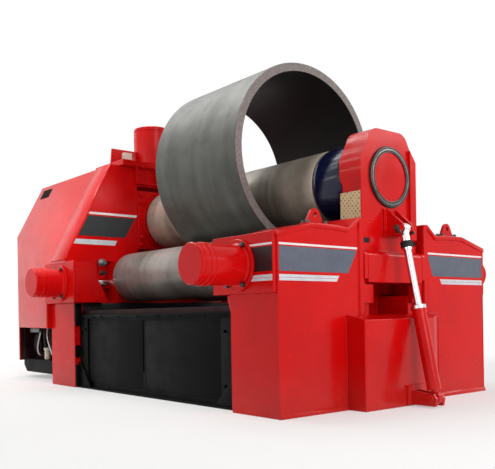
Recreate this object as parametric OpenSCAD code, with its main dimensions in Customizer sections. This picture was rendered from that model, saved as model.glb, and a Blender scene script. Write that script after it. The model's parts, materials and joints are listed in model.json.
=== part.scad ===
// Four-column plate rolling machine with three rolls and a tilting drop end.
// +X runs from the drive end to the drop end, the front is at -Y, the floor is z = 0.
// The origin lies on the floor, midway between the end frames and on their centre plane.

/* [Machine] */
// Clear distance between the two end frames
frame_gap = 3110; // [2600:10:3800]
// Depth of the end frames from front to rear
frame_depth = 2930; // [2800:10:3520]
// Length of the drop-end frame along the rolls
drop_len = 610; // [600:1:700]
// Length of the drive-end column along the rolls
column_len = 640; // [560:1:760]
// Distance that the column's front and rear stand in from the frame's
column_inset = 58; // [0:1:70]
// Height of the guide ways that the side roll blocks run on
way_z = 1020; // [960:1:1030]

/* [Drop-end frame] */
// Roof height at the front and rear edges
roof_edge_z = 1500; // [1480:1:1560]
// Roof height over the middle of each half
roof_z = 1600; // [1585:1:1680]
// Height of the guide columns beside the slot
cheek_top_z = 1690; // [1650:1:1750]
// Width of the slot that the yoke stands in
slot_w = 880; // [880:1:980]
// Height of the slot's floor
slot_floor_z = 800; // [700:1:860]
// Distance of the web across the slot from the frame's inner face
web_inset = 120; // [80:1:140]
// Half width of the opening between the posts at the slot's foot
post_half = 285; // [250:1:320]
// Height of those posts' tops
post_top_z = 1005; // [900:1:1008]
// Thickness of that web
web_t = 40; // [20:1:60]
// Height of the web's top
web_top_z = 1400; // [1150:1:1500]
// Width of each proud strip beside the slot
cheek_w = 55; // [50:1:90]
// Thickness of the proud strips
cheek_t = 12; // [8:1:40]
// Height of the strips' lower end
cheek_low_z = 830; // [822:1:900]
// Height of the box at the foot of the end face
foot_box_h = 828; // [600:1:828]
// Depth of that box out from the end face
foot_box_d = 205; // [150:1:230]
// Half width of that box at the end face
foot_box_half_w = 663; // [600:1:800]
// Half width of the box's outer face at the front and the rear
foot_box_face = [663, 305];
// Fall of that box's sloping top
foot_box_bevel = 40; // [20:1:60]

/* [Rolls] */
// Radius of the two side rolls
side_roll_r = 305; // [250:1:330]
// Distance of the side rolls from the centre plane
side_roll_y = 585; // [560:1:620]
// Height of the side rolls' axes
side_roll_z = 1340; // [1300:1:1360]
// Radius of the top roll
top_roll_r = 370; // [300:1:400]
// Height of the top roll's axis
top_roll_z = 2107; // [2080:1:2140]
// Radius of the side rolls' journals
side_journal_r = 150; // [110:1:170]
// Radius of the top roll's journal at the drive end
top_journal_r = 180; // [140:1:200]
// Length of the blue sleeve at the drop end of the top roll
collar_len = 372; // [300:1:420]

/* [Rolled shell] */
// Outer radius of the rolled shell
shell_r = 980; // [900:1:1000]
// Thickness of the rolled plate
shell_t = 88; // [60:1:120]
// Length of the rolled shell
shell_len = 1420; // [800:1:1600]
// Drive-side edge of the rolled shell
shell_x = -370; // [-600:1:100]

/* [Side roll slides] */
// Width of a side bearing block across the rolls
block_w = 480; // [440:1:500]
// Height of a side bearing block
block_h = 520; // [500:1:530]
// Thickness of a side bearing block along the rolls
block_t = 250; // [230:1:260]
// Travel of the side rolls away from the centre
side_travel = 200; // [120:1:200]
// Radius of the side pistons' rods
rod_r = 60; // [40:1:65]
// Distance of the rods' axes behind the frame faces
rod_inset = 158; // [140:1:170]
// Height of the rods' axes
rod_z = 1262; // [1240:1:1290]
// Radius of the side cylinders
ram_r = 172; // [140:1:190]
// Length of the side cylinders out from their plates
ram_len = 500; // [460:1:620]
// Length of the drive end's side cylinders beyond their plates
drive_ram_len = 372; // [370:1:500]
// Radius of the side cylinders' bolted flanges
ram_flange_r = 220; // [200:1:230]
// Thickness of the side cylinders' flanges
ram_flange_t = 30; // [20:1:60]

/* [Mounting plates and brackets] */
// Length of a cylinder mounting plate along the rolls
plate_len = 795; // [760:1:830]
// Height of a mounting plate
plate_h = 495; // [430:1:500]
// Thickness of a mounting plate
plate_t = 40; // [25:1:60]
// Reach of the plates and brackets in front of the frame faces
bracket_reach = 197; // [120:1:220]
// Depth of a bracket at its foot
bracket_foot = 425; // [300:1:425]
// Depth of a bracket at its top
bracket_head = 180; // [120:1:200]

/* [Yoke] */
// Thickness of the yoke along the rolls
yoke_t = 265; // [250:1:280]
// Width of the yoke
yoke_w = 780; // [760:1:784]
// Height of the yoke's top
yoke_top_z = 2545; // [2520:1:2600]
// Width of the flat on the yoke's top
yoke_top_w = 470; // [400:1:560]
// Height where the yoke's shoulders start
shoulder_z = 2260; // [2200:1:2320]
// Distance of the yoke's inner face from the frame's inner face
yoke_inset = 298; // [290:1:305]
// Radius of the yoke's bearing bore
yoke_bore_r = 250; // [230:1:280]
// Depth of the yoke's bearing bore
yoke_bore_d = 202; // [190:1:215]
// Height of the hinge that the yoke tilts on
pivot_z = 1300; // [1280:1:1320]
// Distance of the hinge behind the frame's end face
pivot_inset = 30; // [0:1:40]
// Radius of the hinge pins
pivot_r = 40; // [40:1:70]
// Length of the crosshead along the rolls
crosshead_len = 235; // [220:1:250]
// Height of the crosshead's underside
crosshead_z0 = 1120; // [1110:1:1150]
// Height of the crosshead's top
crosshead_z1 = 1412; // [1400:1:1430]
// Height of the lower edge of the plates that hang below the crosshead
skirt_z0 = 934; // [934:1:990]
// Height of those plates' upper edge
skirt_z1 = 1104; // [1060:1:1106]
// Width of the yoke's neck below its head
neck_w = 700; // [660:1:720]
// Height of the ledge under the yoke's head
head_z = 2098; // [2060:1:2140]
// Thickness of the full-width plate on the yoke's face
face_t = 12; // [10:1:50]
// Size of the notches through that plate at the yoke's foot
notch = [100, 46]; // [40:1:110]
// Height of the notches' lower edge
notch_z = 1481; // [1440:1:1490]
// Height of the wear plates' lower end
wear_low_z = 1530; // [1525:1:1580]
// Height of the wear plates' upper end
wear_high_z = 1955; // [1900:1:2000]
// Distance of the bar on the yoke's face from the centre plane
bar_y = 285; // [270:1:290]
// Width of that bar
bar_w = 87; // [60:1:95]
// Thickness of that bar
bar_d = 27; // [15:1:35]

/* [Tilt cylinder] */
// Lower pin of the tilt cylinder, out from the frame's end face
tilt_low_out = 435; // [430:1:500]
// Height of the lower pin
tilt_low_z = 85; // [75:1:110]
// Upper pin of the tilt cylinder, out from the frame's end face
tilt_high_out = 110; // [90:1:110]
// Height of the upper pin
tilt_high_z = 1616; // [1600:1:1630]
// Radius of the tilt cylinder's barrel
barrel_r = 62; // [50:1:64]
// Length of the barrel up from its lower pin
barrel_len = 822; // [760:1:840]
// Radius of the tilt cylinder's rod
tilt_rod_r = 34; // [25:1:40]

/* [Drive end] */
// Distance of the housing's face behind the frame's inner face
hood_inset = 117; // [100:1:130]
// Length of the drive housing
hood_len = 2080; // [1800:1:2400]
// Height of the housing's roof
hood_top_z = 2780; // [2700:1:2900]
// Half width of the housing's flat roof
hood_roof_half_w = 813; // [760:1:900]
// Height where the housing's sides start to slope in
hood_eave_z = 1544; // [1530:1:1580]
// Height of the housing's lower edge behind the column
hood_low_z = 710; // [600:1:800]
// Half width of the housing's far end
hood_end_half_w = 1211; // [1100:1:1300]
// Gap between the floor and the skid's outer edge
skid_up = 75; // [40:1:100]
// Height of the black skid below the housing
skid_h = 259; // [180:1:300]
// Radius of the upright cylinder on the tower
lift_ram_r = 250; // [200:1:280]
// Height of the upright cylinder
lift_ram_h = 550; // [450:1:650]
// Height of the top bearing block
top_block_h = 760; // [740:1:780]
// Thickness of the top bearing block
top_block_t = 330; // [300:1:360]
// Width of the opening that the top bearing block runs in
top_way_w = 860; // [820:1:900]
// Radius of the bolted flange around the top roll's neck
neck_flange_r = 380; // [340:1:400]
// Thickness of that flange
neck_flange_t = 70; // [50:1:80]

/* [Centre bed] */
// Height of the bed between the frames
bed_h = 800; // [600:1:840]
// Distance of the side panels behind the frames' front and rear faces
panel_inset = 150; // [100:1:250]
// Height of the side panels
panel_h = 870; // [800:1:900]
// Thickness of the side panels
panel_t = 12; // [8:1:20]

/* [Hidden] */

$fn = 96;
frame_red = [0.77, 0.09, 0.11];
dark_red = [0.45, 0.05, 0.06];
navy = [0.06, 0.07, 0.25];
steel = [0.42, 0.39, 0.36];
chrome = [0.82, 0.83, 0.85];
near_black = [0.06, 0.06, 0.07];
tan_metal = [0.72, 0.60, 0.40];

// Clearances
fit = 0.06;             // radial clearance of a journal or pin in its bore
guide = 0.3;            // gap of a block or shoe to the way that guides it
gland = 0.3;            // radial clearance of a piston rod in its gland
air = 5;                // gap between pieces that only pass each other
roll_gap = 10;          // gap between a roll's end and the bearing block beside it
lift_down = 100;        // travel of the top roll down from rest
lift_up = 40;           // travel of the top roll up from rest
tilt_stroke = 425.7;    // shortening of the tilt cylinder when the yoke lies down
cut = 1;                // how far a cutter runs past a face

// Main planes
xi = frame_gap / 2;
yh = frame_depth / 2;
end_x = xi + drop_len;
slot_half = slot_w / 2;
hood_x = xi + hood_inset;

// Side slides
block_x0 = xi - 15;
side_roll_half = block_x0 - roll_gap;
block_y0 = side_roll_y - block_w / 2;
block_y1 = side_roll_y + block_w / 2;
way_depth = block_x0 + block_t + 25 - xi;
rod_x = xi + rod_inset;
plate_y = yh + plate_t;
gland_len = 70;
ram_bore_r = rod_r + 15;
ram_cap = 60;
rod_end_y = plate_y + gland_len + 25;

// Top roll and yoke
yoke_x = xi + yoke_inset;
yoke_face_x = yoke_x + yoke_t;
sleeve_x1 = yoke_x - 13;
sleeve_x0 = sleeve_x1 - collar_len;
top_roll_x0 = -(xi - 3);
journal_r1 = yoke_bore_r - 25;
journal_r2 = yoke_bore_r - 90;
journal_len = yoke_bore_d - 4;
top_block_x = hood_x - 12;
way_top_clear = 16;
pivot_x = end_x - pivot_inset;
crosshead_x1 = pivot_x + pivot_r + 12;
skirt_x0 = end_x - 65;
skirt_x1 = end_x - 15;
foot_box_sill = 12;
shell_z = side_roll_z + sqrt(pow(shell_r + side_roll_r + guide, 2) - pow(side_roll_y, 2));

// Tilt cylinder, measured along its axis from the lower pin
low_pin = [end_x + tilt_low_out, tilt_low_z];
high_pin = [end_x + tilt_high_out, tilt_high_z];
tilt_run = high_pin - low_pin;
tilt_len = norm(tilt_run);
tilt_lean = atan2(-tilt_run[0], tilt_run[1]);
barrel_wall = 12;
barrel_floor = 90;
barrel_head = 25;
barrel_foot = 75;
low_eye_w = 60;
low_pin_r = 30;
eye_r = 50;
eye_w = 80;
sleeve_r = tilt_rod_r + 10;
sleeve_top = tilt_len - 45;
sleeve_overlap = 15;
rod_out_end = sleeve_top - lift_down - 2 - air;
sleeve_mouth = rod_out_end - lift_up - 1 - sleeve_overlap;
rod_in_end = barrel_floor + tilt_stroke + 15;

// Extrudes a (y, z) outline from x0 to x1
module slab_x(x0, x1) {
    translate([x0, 0, 0]) rotate([90, 0, 90]) linear_extrude(x1 - x0) children();
}

// Extrudes an (x, z) outline between y0 and y1
module slab_y(y0, y1) {
    translate([0, y1, 0]) rotate([90, 0, 0]) linear_extrude(y1 - y0) children();
}

// A box between two opposite corners
module box(a, b) {
    translate(a) cube(b - a);
}

// A cylinder along +X from x0 to x1
module rod_along_x(x0, x1, y, z, r) {
    translate([x0, y, z]) rotate([0, 90, 0]) cylinder(h = x1 - x0, r = r);
}

// A cylinder along +Y from y0 to y1
module rod_along_y(y0, y1, x, z, r) {
    translate([x, y0, z]) rotate([-90, 0, 0]) cylinder(h = y1 - y0, r = r);
}

module both_sides() {
    children();
    mirror([0, 1, 0]) children();
}

// Places a shape that is drawn for the drop end's rear quarter: e is +1 at the drop end, s is -1 at the front
module at_corner(e, s) {
    mirror([e < 0 ? 1 : 0, 0, 0]) mirror([0, s < 0 ? 1 : 0, 0]) children();
}

// The space that a side bearing block and its rod need inside an end frame
module side_way() {
    box([block_x0 - cut, block_y0 - air, way_z],
        [xi + way_depth, block_y1 + side_travel + air, way_z + guide + block_h + air]);
    box([rod_x - rod_r - 30, block_y1, rod_z - rod_r - 30],
        [rod_x + rod_r + 30, yh + cut, rod_z + rod_r + 30]);
}

module end_outline() {
    half = [
        [yh, 0], [yh, roof_edge_z], [yh - 385, roof_z], [yh - 650, roof_z], [slot_half + 210, roof_z - 15],
        [slot_half + cheek_w, cheek_top_z], [slot_half, cheek_top_z], [slot_half, slot_floor_z]
    ];
    other = [for (i = [len(half) - 1 : -1 : 0]) [-half[i][0], half[i][1]]];
    polygon(concat(half, other));
}

module drop_end_frame() {
    color(frame_red) difference() {
        union() {
            slab_x(xi, end_x) end_outline();
            box([xi + web_inset, -slot_half - cut, slot_floor_z - cut],
                [xi + web_inset + web_t, slot_half + cut, web_top_z]);
            both_sides() box([xi + web_inset, post_half, slot_floor_z - cut],
                [skirt_x0 - air, slot_half + cut, post_top_z]);
        }
        both_sides() side_way();
    }
}

module cheek_strips() {
    color(frame_red) both_sides()
        box([end_x, slot_half, cheek_low_z], [end_x + cheek_t, slot_half + cheek_w, cheek_top_z]);
}

module foot_box() {
    low = foot_box_h - foot_box_bevel;
    color(frame_red) intersection() {
        linear_extrude(foot_box_h) polygon([
            [end_x, -foot_box_half_w], [end_x + foot_box_d, -foot_box_face[0]],
            [end_x + foot_box_d, foot_box_face[1]], [end_x, foot_box_half_w]
        ]);
        slab_y(-foot_box_half_w, foot_box_half_w) polygon([
            [end_x, 0], [end_x + foot_box_d, 0], [end_x + foot_box_d, low],
            [end_x + foot_box_sill, foot_box_h], [end_x, foot_box_h]
        ]);
    }
}

module mounting_plate() {
    difference() {
        box([xi - bracket_reach, yh, way_z], [xi - bracket_reach + plate_len, plate_y, way_z + plate_h]);
        rod_along_y(yh - cut, plate_y + cut, rod_x, rod_z, rod_r + air);
    }
}

// A gusset that carries the plate in front of the frame's inner face
module plate_bracket(reach_back) {
    difference() {
        slab_x(xi - bracket_reach, reach_back) polygon([
            [yh, way_z], [yh - bracket_foot, way_z], [yh - bracket_head, roof_edge_z], [yh, roof_edge_z]
        ]);
        side_way();
    }
}

module drop_mounting_plates() {
    color(frame_red) both_sides() mounting_plate();
}

module drive_mounting_plates() {
    color(frame_red) both_sides() mirror([1, 0, 0]) mounting_plate();
}

module drop_brackets() {
    color(frame_red) both_sides() plate_bracket(xi);
}

module drive_brackets() {
    color(frame_red) both_sides() mirror([1, 0, 0]) plate_bracket(hood_x);
}

module side_ram(len) {
    color(frame_red) difference() {
        union() {
            rod_along_y(plate_y, plate_y + ram_flange_t, rod_x, rod_z, ram_flange_r);
            rod_along_y(plate_y, plate_y + len, rod_x, rod_z, ram_r);
        }
        rod_along_y(plate_y - cut, plate_y + gland_len + cut, rod_x, rod_z, rod_r + gland);
        rod_along_y(plate_y + gland_len, plate_y + len - ram_cap, rod_x, rod_z, ram_bore_r);
    }
}

module side_block() {
    color(frame_red) difference() {
        box([block_x0, block_y0, way_z + guide], [block_x0 + block_t, block_y1, way_z + guide + block_h]);
        rod_along_x(block_x0 - cut, block_x0 + block_t + cut, side_roll_y, side_roll_z, side_journal_r + fit);
    }
}

module side_piston_rods(s) {
    color(chrome) for (e = [-1, 1]) at_corner(e, s)
        rod_along_y(block_y1, rod_end_y, rod_x, rod_z, rod_r);
}

module side_roll(s) {
    reach = block_x0 + block_t - 20;
    color(steel) at_corner(1, s) {
        rod_along_x(-side_roll_half, side_roll_half, side_roll_y, side_roll_z, side_roll_r);
        rod_along_x(-reach, reach, side_roll_y, side_roll_z, side_journal_r);
    }
}

module top_roll() {
    color(steel) {
        rod_along_x(top_roll_x0, sleeve_x0, 0, top_roll_z, top_roll_r);
        rod_along_x(-(top_block_x + top_block_t - 20), top_roll_x0 + cut, 0, top_roll_z, top_journal_r);
    }
}

module top_roll_sleeve() {
    color(navy) {
        rod_along_x(sleeve_x0, sleeve_x1, 0, top_roll_z, top_roll_r);
        translate([sleeve_x1, 0, top_roll_z]) rotate([0, 90, 0])
            cylinder(h = journal_len, r1 = journal_r1, r2 = journal_r2);
    }
}

module neck_flange() {
    color(frame_red) difference() {
        rod_along_x(-top_block_x, -top_block_x + neck_flange_t, 0, top_roll_z, neck_flange_r);
        rod_along_x(-top_block_x - cut, -top_block_x + neck_flange_t + cut, 0, top_roll_z, top_journal_r + 20);
    }
}

module top_bearing_block() {
    color(frame_red) difference() {
        box([-top_block_x - top_block_t, -top_way_w / 2 + guide, top_roll_z - top_block_h / 2],
            [-top_block_x, top_way_w / 2 - guide, top_roll_z + top_block_h / 2]);
        rod_along_x(-top_block_x - top_block_t - cut, -top_block_x + cut, 0, top_roll_z, top_journal_r + fit);
    }
}

module yoke() {
    ledge_z = head_z - 74;
    color(frame_red) difference() {
        union() {
            slab_x(yoke_x, yoke_face_x) polygon([
                [-neck_w / 2, crosshead_z1], [neck_w / 2, crosshead_z1], [neck_w / 2, ledge_z],
                [yoke_w / 2, head_z], [yoke_w / 2, shoulder_z], [yoke_top_w / 2, yoke_top_z],
                [-yoke_top_w / 2, yoke_top_z], [-yoke_w / 2, shoulder_z], [-yoke_w / 2, head_z],
                [-neck_w / 2, ledge_z]
            ]);
            box([yoke_face_x - face_t, -yoke_w / 2, crosshead_z1], [yoke_face_x, yoke_w / 2, head_z + cut]);
            rod_along_x(yoke_face_x - cut, yoke_face_x + 12, 0, top_roll_z, yoke_bore_r - 22);
        }
        rod_along_x(yoke_x - cut, yoke_x + yoke_bore_d, 0, top_roll_z, yoke_bore_r);
        both_sides() box([yoke_face_x - face_t - cut, yoke_w / 2 - notch[0], notch_z],
            [yoke_face_x + cut, yoke_w / 2 + cut, notch_z + notch[1]]);
    }
    color(frame_red) slab_x(yoke_face_x - cut, yoke_face_x + bar_d) polygon([
        [bar_y, notch_z + notch[1] + 10], [bar_y + bar_w, notch_z + notch[1] + 10],
        [bar_y + bar_w, shoulder_z + 22], [bar_y, shoulder_z + 132]
    ]);
}

module yoke_ring() {
    color(chrome) translate([yoke_face_x, 0, top_roll_z]) rotate([0, 90, 0])
        difference() {
            cylinder(h = 25, r = yoke_bore_r + 30);
            translate([0, 0, -cut]) cylinder(h = 25 + 2 * cut, r = yoke_bore_r - 20);
        }
}

module yoke_wear_plates() {
    color(tan_metal) both_sides()
        box([yoke_x + 5, neck_w / 2, wear_low_z], [yoke_face_x - face_t - 3, yoke_w / 2, wear_high_z]);
}

module crosshead() {
    x0 = crosshead_x1 - crosshead_len;
    nose = 60;
    color(frame_red) difference() {
        union() {
            box([x0, -yoke_w / 2, crosshead_z0], [crosshead_x1 - nose, yoke_w / 2, crosshead_z1]);
            box([x0, -yoke_w / 2, crosshead_z0], [crosshead_x1, yoke_w / 2, crosshead_z1 - nose]);
            rod_along_y(-yoke_w / 2, yoke_w / 2, crosshead_x1 - nose, crosshead_z1 - nose, nose);
        }
        both_sides() rod_along_y(yoke_w / 2 - 60, yoke_w / 2 + cut, pivot_x, pivot_z, pivot_r + fit);
    }
}

module tilt_bracket() {
    ear = 25;
    ear_y = sleeve_r + air;
    base_t = 25;
    color(frame_red) {
        box([yoke_face_x, -ear_y - ear - 30, high_pin[1] - 75],
            [yoke_face_x + base_t, ear_y + ear + 30, high_pin[1] + 190]);
        both_sides() {
            slab_y(ear_y, ear_y + ear) polygon([
                [yoke_face_x, high_pin[1] - 60], [high_pin[0] - 10, high_pin[1] - 60],
                [high_pin[0] + 60, high_pin[1]], [high_pin[0] + 42, high_pin[1] + 42],
                [yoke_face_x + base_t, high_pin[1] + 190], [yoke_face_x, high_pin[1] + 190]
            ]);
            rod_along_y(ear_y + ear - cut, ear_y + ear + 20, high_pin[0], high_pin[1], 38);
        }
    }
}

module hinge_shoes() {
    y0 = yoke_w / 2 + air;
    y1 = slot_half - guide;
    top_r = 50;
    color(frame_red) both_sides() {
        box([pivot_x - 100, y0, pivot_z - 150], [crosshead_x1 - top_r, y1, crosshead_z1]);
        box([pivot_x - 100, y0, pivot_z - 150], [crosshead_x1, y1, crosshead_z1 - top_r]);
        rod_along_y(y0, y1, crosshead_x1 - top_r, crosshead_z1 - top_r, top_r);
        box([skirt_x0, y0, skirt_z0], [skirt_x1, y1, pivot_z - 149]);
        box([skirt_x0, post_half, skirt_z0], [skirt_x1, y1, skirt_z1]);
        rod_along_y(yoke_w / 2 - 55, y0 + cut, pivot_x, pivot_z, pivot_r);
    }
}

// Places a shape along the tilt cylinder: its z runs from the lower pin to the upper pin
module on_tilt_axis() {
    translate([low_pin[0], 0, low_pin[1]]) rotate([0, -tilt_lean, 0]) children();
}

module tilt_clevis() {
    ear = 30;
    ear_y = low_eye_w / 2 + 8;
    foot_x = end_x + foot_box_d;
    color(frame_red) {
        both_sides() slab_y(ear_y, ear_y + ear) polygon([
            [foot_x, 15], [low_pin[0] + 40, 15], [low_pin[0] + 55, low_pin[1]],
            [low_pin[0] + 25, low_pin[1] + 40], [low_pin[0] - 40, low_pin[1] + 40], [foot_x, low_pin[1] + 60]
        ]);
        rod_along_y(-ear_y - ear - 12, ear_y + ear + 12, low_pin[0], low_pin[1], low_pin_r);
    }
}

module tilt_barrel() {
    color(frame_red) difference() {
        on_tilt_axis() {
            translate([0, 0, barrel_foot]) cylinder(h = barrel_len - barrel_foot, r = barrel_r);
            cylinder(h = barrel_foot + cut, r = low_eye_w / 2);
            rotate([90, 0, 0]) cylinder(h = low_eye_w, r = barrel_r - 4, center = true);
        }
        on_tilt_axis() {
            translate([0, 0, barrel_floor])
                cylinder(h = barrel_len - barrel_head - barrel_floor, r = barrel_r - barrel_wall);
            translate([0, 0, barrel_len - barrel_head - cut])
                cylinder(h = barrel_head + 2 * cut, r = tilt_rod_r + gland);
            rotate([90, 0, 0]) cylinder(h = low_eye_w * 3, r = low_pin_r + fit, center = true);
        }
    }
}

module tilt_rod() {
    color(chrome) on_tilt_axis()
        translate([0, 0, rod_in_end]) cylinder(h = rod_out_end - rod_in_end, r = tilt_rod_r);
}

module tilt_rod_end() {
    color(chrome) on_tilt_axis() difference() {
        union() {
            translate([0, 0, sleeve_mouth]) cylinder(h = tilt_len - sleeve_mouth, r = sleeve_r);
            translate([0, 0, tilt_len]) rotate([90, 0, 0]) cylinder(h = eye_w, r = eye_r, center = true);
        }
        translate([0, 0, sleeve_mouth - cut])
            cylinder(h = sleeve_top - sleeve_mouth + cut, r = tilt_rod_r + gland);
    }
}

module drive_column() {
    color(frame_red) box([-xi - column_len, -yh + column_inset, 0], [-xi, yh - column_inset, way_z]);
}

module drive_housing() {
    far_x = hood_x + hood_len;
    column_x = xi + column_len;
    color(frame_red) difference() {
        intersection() {
            slab_x(-far_x, -hood_x) polygon([
                [-yh, hood_low_z], [-yh, hood_eave_z], [-hood_roof_half_w, hood_top_z],
                [hood_roof_half_w, hood_top_z], [yh, hood_eave_z], [yh, hood_low_z]
            ]);
            linear_extrude(hood_top_z + cut) polygon([
                [-hood_x, -yh], [-hood_x, yh], [-column_x - 45, yh], [-far_x, hood_end_half_w],
                [-far_x, -hood_end_half_w], [-column_x - 45, -yh]
            ]);
        }
        box([-column_x, -yh - cut, 0], [-hood_x + cut, yh + cut, way_z]);
        mirror([1, 0, 0]) both_sides() side_way();
        box([-top_block_x - top_block_t - 12, -top_way_w / 2,
                top_roll_z - top_block_h / 2 - lift_down - way_top_clear],
            [-hood_x + cut, top_way_w / 2, top_roll_z + top_block_h / 2 + lift_up + way_top_clear]);
    }
}

module tower_shelf() {
    shelf_t = 70;
    reach = 110;
    rib = 25;
    ledge_z = top_roll_z + top_block_h / 2 + lift_up + way_top_clear + 20;
    color(frame_red) {
        box([-hood_x - 620, -700, hood_top_z], [-hood_x + reach, 700, hood_top_z + shelf_t]);
        box([-hood_x, -480, ledge_z], [-hood_x + reach - 30, 480, ledge_z + rib]);
        for (y = [-480, -rib / 2 - 150, -rib / 2 + 150, 480 - rib])
            box([-hood_x, y, ledge_z], [-hood_x + reach - 40, y + rib, hood_top_z + cut]);
    }
}

module lift_ram() {
    z = hood_top_z + 70;
    color(frame_red) {
        translate([-hood_x - 300, 0, z]) cylinder(h = lift_ram_h, r = lift_ram_r - 6);
        translate([-hood_x - 300, 0, z]) cylinder(h = lift_ram_h - 60, r = lift_ram_r);
    }
}

module tower_lugs() {
    z = hood_top_z + 70;
    x = -hood_x - 300;
    color(frame_red) both_sides() slab_x(x - 15, x + 15) polygon([
        [lift_ram_r + air, z], [650, z], [630, z + 215], [lift_ram_r + air, z + 215]
    ]);
}

module housing_skid() {
    x0 = -hood_x - hood_len + 40;
    column_x = xi + column_len;
    color(near_black) slab_y(-hood_end_half_w + 60, hood_end_half_w - 60) polygon([
        [-column_x, skid_up], [x0 + 100, skid_up], [x0, 170], [x0, skid_h], [-column_x, skid_h]
    ]);
    color(near_black) slab_y(-420, 420) polygon([
        [-column_x, 0], [x0 + 160, 0], [x0 + 160, skid_up + cut], [-column_x, skid_up + cut]
    ]);
}

module housing_core() {
    x0 = -hood_x - hood_len;
    column_x = xi + column_len;
    post = 60;
    color(near_black)
        box([x0 + 60, -hood_end_half_w + 240, skid_h], [-column_x, hood_end_half_w - 240, hood_low_z]);
    color(frame_red) both_sides()
        box([x0 + 42, hood_end_half_w - 62 - post, skid_h], [x0 + 42 + 25, hood_end_half_w - 62, hood_low_z]);
}

module centre_bed() {
    y1 = yh - panel_inset - panel_t;
    color(dark_red) box([-xi, -y1, 0], [xi, y1, bed_h]);
}

module bed_rails() {
    y1 = yh - panel_inset - panel_t;
    color(dark_red) both_sides() box([-xi, y1 - 60, bed_h], [xi, y1, panel_h + 55]);
}

module side_panels() {
    rim = 45;
    y1 = yh - panel_inset;
    color(near_black) both_sides() {
        box([-xi, y1 - panel_t, 0], [xi, y1, panel_h]);
        box([-xi, y1, panel_h - rim], [xi, y1 + 25, panel_h]);
        box([-xi, y1, 0], [xi, y1 + 60, 20]);
    }
}

module lifting_lugs() {
    x = end_x - 93;
    y = yh - 510;
    eye = [0, 90];
    eye_r = 55;
    foot = [105, 15];
    run = eye - foot;
    turn = atan2(run[1], run[0]) - asin(eye_r / norm(run));
    tangent = foot + sqrt(pow(norm(run), 2) - pow(eye_r, 2)) * [cos(turn), sin(turn)];
    color(frame_red) both_sides() {
        box([x - 45, y - 125, roof_z], [x + 45, y + 125, roof_z + foot[1]]);
        difference() {
            union() {
                translate([0, y, roof_z]) slab_x(x - 15, x + 15) polygon([
                    [-foot[0], 0], [foot[0], 0], foot, tangent, [-tangent[0], tangent[1]], [-foot[0], foot[1]]
                ]);
                rod_along_x(x - 15, x + 15, y, roof_z + eye[1], eye_r);
            }
            rod_along_x(x - 15 - cut, x + 15 + cut, y, roof_z + eye[1], 22);
        }
    }
}

module rolled_shell() {
    color([0.30, 0.31, 0.29]) translate([shell_x, 0, shell_z]) rotate([0, 90, 0]) difference() {
        cylinder(h = shell_len, r = shell_r, $fn = 180);
        translate([0, 0, -cut]) cylinder(h = shell_len + 2 * cut, r = shell_r - shell_t, $fn = 180);
    }
}

drop_end_frame();
cheek_strips();
foot_box();
drop_mounting_plates();
drop_brackets();
at_corner(1, -1) side_ram(ram_len);  // front_drop_ram
at_corner(1, 1) side_ram(ram_len);  // rear_drop_ram
at_corner(-1, -1) side_ram(drive_ram_len);  // front_drive_ram
at_corner(-1, 1) side_ram(drive_ram_len);  // rear_drive_ram
at_corner(1, -1) side_block();  // front_drop_block
at_corner(1, 1) side_block();  // rear_drop_block
at_corner(-1, -1) side_block();  // front_drive_block
at_corner(-1, 1) side_block();  // rear_drive_block
side_piston_rods(-1);  // front_piston_rods
side_piston_rods(1);  // rear_piston_rods
side_roll(-1);  // front_roll
side_roll(1);  // rear_roll
top_roll();
top_roll_sleeve();
neck_flange();
top_bearing_block();
yoke();
yoke_ring();
yoke_wear_plates();
crosshead();
tilt_bracket();
hinge_shoes();
tilt_clevis();
tilt_barrel();
tilt_rod();
tilt_rod_end();
drive_column();
drive_mounting_plates();
drive_brackets();
drive_housing();
tower_shelf();
lift_ram();
tower_lugs();
housing_skid();
housing_core();
centre_bed();
bed_rails();
side_panels();
lifting_lugs();
rolled_shell();
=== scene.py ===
"""Finished look of a heavy plate rolling machine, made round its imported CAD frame.

+X runs along the rolls towards the drop end, -Y is the front and z = 0 is the floor. Lengths are metres.
"""
import json
import math

import bpy
from mathutils import Matrix, Vector


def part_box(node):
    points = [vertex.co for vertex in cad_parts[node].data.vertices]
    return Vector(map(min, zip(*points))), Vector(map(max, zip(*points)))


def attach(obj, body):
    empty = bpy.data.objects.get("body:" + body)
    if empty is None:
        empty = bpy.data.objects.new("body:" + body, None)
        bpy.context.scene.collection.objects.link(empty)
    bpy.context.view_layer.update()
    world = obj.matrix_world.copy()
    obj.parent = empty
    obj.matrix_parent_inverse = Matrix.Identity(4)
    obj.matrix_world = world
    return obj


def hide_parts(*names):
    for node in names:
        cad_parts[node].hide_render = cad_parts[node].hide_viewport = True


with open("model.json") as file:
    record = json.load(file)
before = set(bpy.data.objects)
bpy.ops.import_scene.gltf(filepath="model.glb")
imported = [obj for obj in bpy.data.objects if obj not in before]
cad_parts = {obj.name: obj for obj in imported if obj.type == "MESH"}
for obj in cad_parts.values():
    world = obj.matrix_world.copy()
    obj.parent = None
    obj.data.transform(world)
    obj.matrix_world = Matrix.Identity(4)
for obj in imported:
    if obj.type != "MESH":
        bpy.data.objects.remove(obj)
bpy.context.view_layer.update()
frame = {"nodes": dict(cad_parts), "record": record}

MM = 0.001
NODE_SLOT = {part["node"]: part["material_slot"] for part in frame["record"]["subparts"]}
NODE_BODY = {node: body for body, nodes in frame["record"]["behaviour"]["bodies"].items() for node in nodes}

# ---- Finishes


def linear(colour):
    """Turns an sRGB hex colour into the linear one that a shader takes."""
    parts = [int(colour[i:i + 2], 16) / 255 for i in (0, 2, 4)]
    return (*(p / 12.92 if p <= 0.04045 else ((p + 0.055) / 1.055) ** 2.4 for p in parts), 1)


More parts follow.
